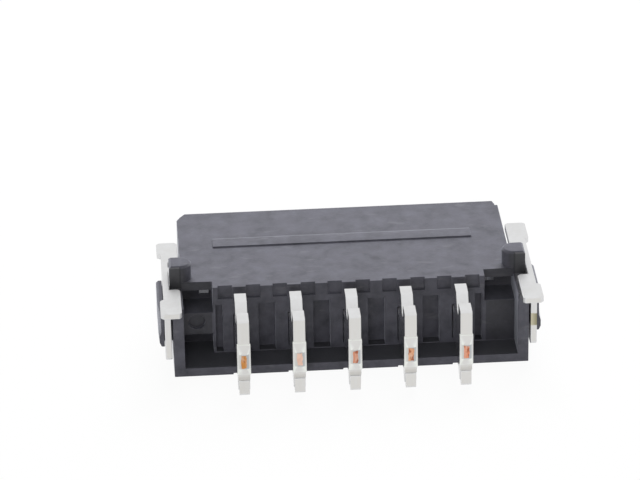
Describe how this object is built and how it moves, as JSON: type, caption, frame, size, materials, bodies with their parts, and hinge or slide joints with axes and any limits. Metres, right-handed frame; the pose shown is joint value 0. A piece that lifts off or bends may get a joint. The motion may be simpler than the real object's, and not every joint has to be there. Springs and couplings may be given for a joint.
{
  "type": "board-to-board connector",
  "caption": "Flat right-angle surface-mount connector: dark shrouded housing, a row of blanked tin-plated contacts with twin solder feet, locating pegs and end solder clips.",
  "frame": {"origin": "on the flat resting face, below the middle contact, in the plane of the rear wall that the contacts come out of", "axes": "+X along the row of contacts, +Y out of the mating mouth, +Z towards the circuit board that the feet are soldered to"},
  "size_m": [0.0178, 0.0117, 0.0046],
  "materials": {
    "housing_plastic": "fine moulded matt",
    "contact_tin": "matt tin plate",
    "clip_tin": "matt tin plate"
  },
  "bodies": {
    "root": {"housing": "housing_plastic", "contact_1": "contact_tin", "contact_2": "contact_tin", "contact_3": "contact_tin", "contact_4": "contact_tin", "contact_5": "contact_tin", "solder_clip_left": "clip_tin", "solder_clip_right": "clip_tin"}
  },
  "joints": []
}
